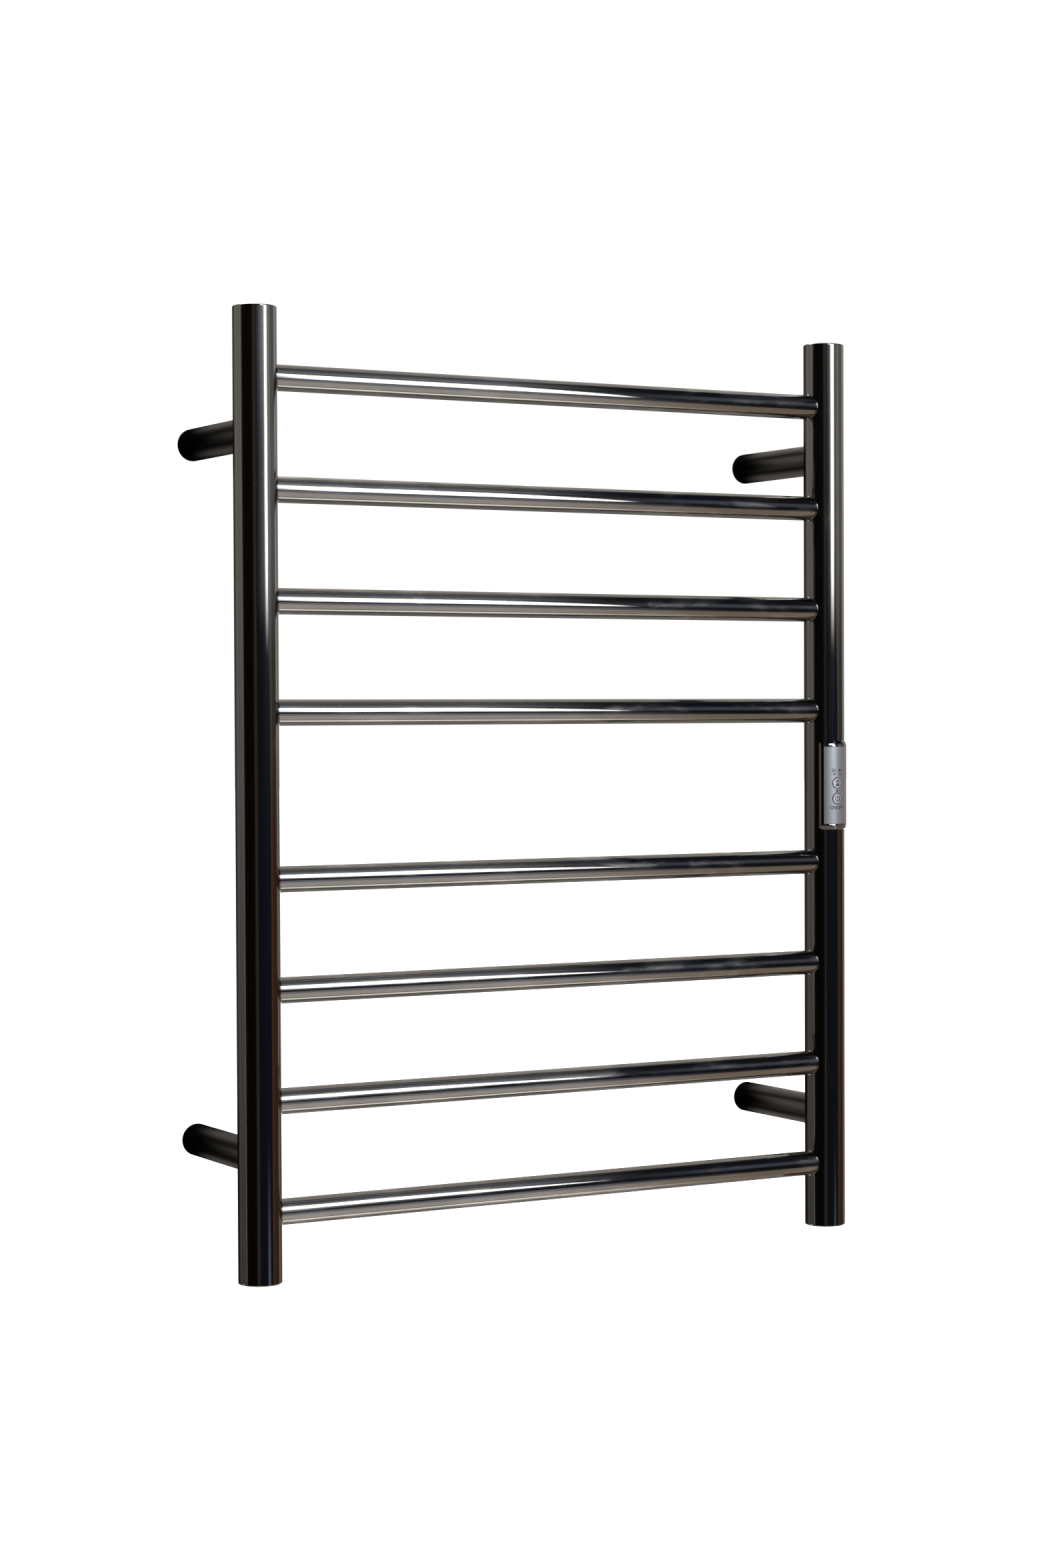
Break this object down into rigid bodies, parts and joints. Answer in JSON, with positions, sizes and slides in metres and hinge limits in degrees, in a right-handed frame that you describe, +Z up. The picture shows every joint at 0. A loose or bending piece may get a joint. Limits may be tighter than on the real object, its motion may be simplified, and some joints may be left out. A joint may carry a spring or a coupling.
{
  "type": "towel warmer rack",
  "caption": "Wall-mounted heated towel rail of dark polished round tube: two uprights, cross bars in two groups, wall brackets and a push-button timer unit.",
  "frame": {"origin": "on the wall, in the middle of the four wall screws", "axes": "+Z up, +X to the right seen from the front, +Y towards the wall"},
  "size_m": [0.5258, 0.1324, 0.7],
  "materials": {
    "black_chrome": "dark mirror polish",
    "satin_black_chrome": "dark satin",
    "wall_boss_alloy": "turned",
    "fixing_steel": "zinc plated",
    "earth_brass": "plain",
    "cover_plastic": "dark gloss",
    "panel_silver": "satin silver",
    "button_silver": "silver",
    "light_pipe": "smoked clear",
    "lamp": "clear",
    "board": "solder mask",
    "component": "moulded",
    "inner_plastic": "moulded",
    "terminal_plastic": "moulded",
    "seal_rubber": "plain",
    "heating_cable": "silicone",
    "supply_cable": "plain"
  },
  "bodies": {
    "rail": {"left_upright": "black_chrome", "right_upright": "black_chrome", "cross_bar_1": "black_chrome", "cross_bar_2": "black_chrome", "cross_bar_3": "black_chrome", "cross_bar_4": "black_chrome", "cross_bar_5": "black_chrome", "cross_bar_6": "black_chrome", "cross_bar_7": "black_chrome", "cross_bar_8": "black_chrome", "left_top_cap": "black_chrome", "left_bottom_cap": "black_chrome", "right_top_cap": "black_chrome", "right_bottom_cap": "black_chrome", "upper_left_bracket_sleeve": "satin_black_chrome", "upper_right_bracket_sleeve": "satin_black_chrome", "lower_left_bracket_sleeve": "satin_black_chrome", "lower_right_bracket_sleeve": "satin_black_chrome", "upper_left_wall_boss": "wall_boss_alloy", "upper_right_wall_boss": "wall_boss_alloy", "lower_left_wall_boss": "wall_boss_alloy", "lower_right_wall_boss": "wall_boss_alloy", "grub_screws": "fixing_steel", "anchor_nuts": "fixing_steel", "hollow_studs": "fixing_steel", "stud_nuts": "fixing_steel", "stud_washers": "fixing_steel", "earth_tag": "earth_brass", "supply_grommet": "seal_rubber", "terminal_block": "terminal_plastic", "upper_heating_cable": "heating_cable", "lower_heating_cable": "heating_cable", "supply_lead": "supply_cable", "controller_cover": "cover_plastic", "controller_back": "inner_plastic", "controller_seal": "seal_rubber", "face_panel": "panel_silver", "timer_switch": "component", "power_switch": "component", "light_pipes": "light_pipe", "indicator_lamps": "lamp", "circuit_board": "board", "control_chip": "component", "heater_relay": "component", "capacitor": "component", "thermal_fuse": "component", "upper_connector": "terminal_plastic", "lower_connector": "terminal_plastic"},
    "timer_button": {"timer_button": "button_silver", "timer_plunger": "inner_plastic"},
    "power_button": {"power_button": "button_silver", "power_plunger": "inner_plastic"}
  },
  "joints": [
    {"name": "timer_button_press", "type": "slide", "parent": "rail", "child": "timer_button", "axis": [0, 1, 0], "range_m": [0, 0.0006], "stiffness_N_per_m": 2000},
    {"name": "power_button_press", "type": "slide", "parent": "rail", "child": "power_button", "axis": [0, 1, 0], "range_m": [0, 0.0006], "stiffness_N_per_m": 2000}
  ]
}
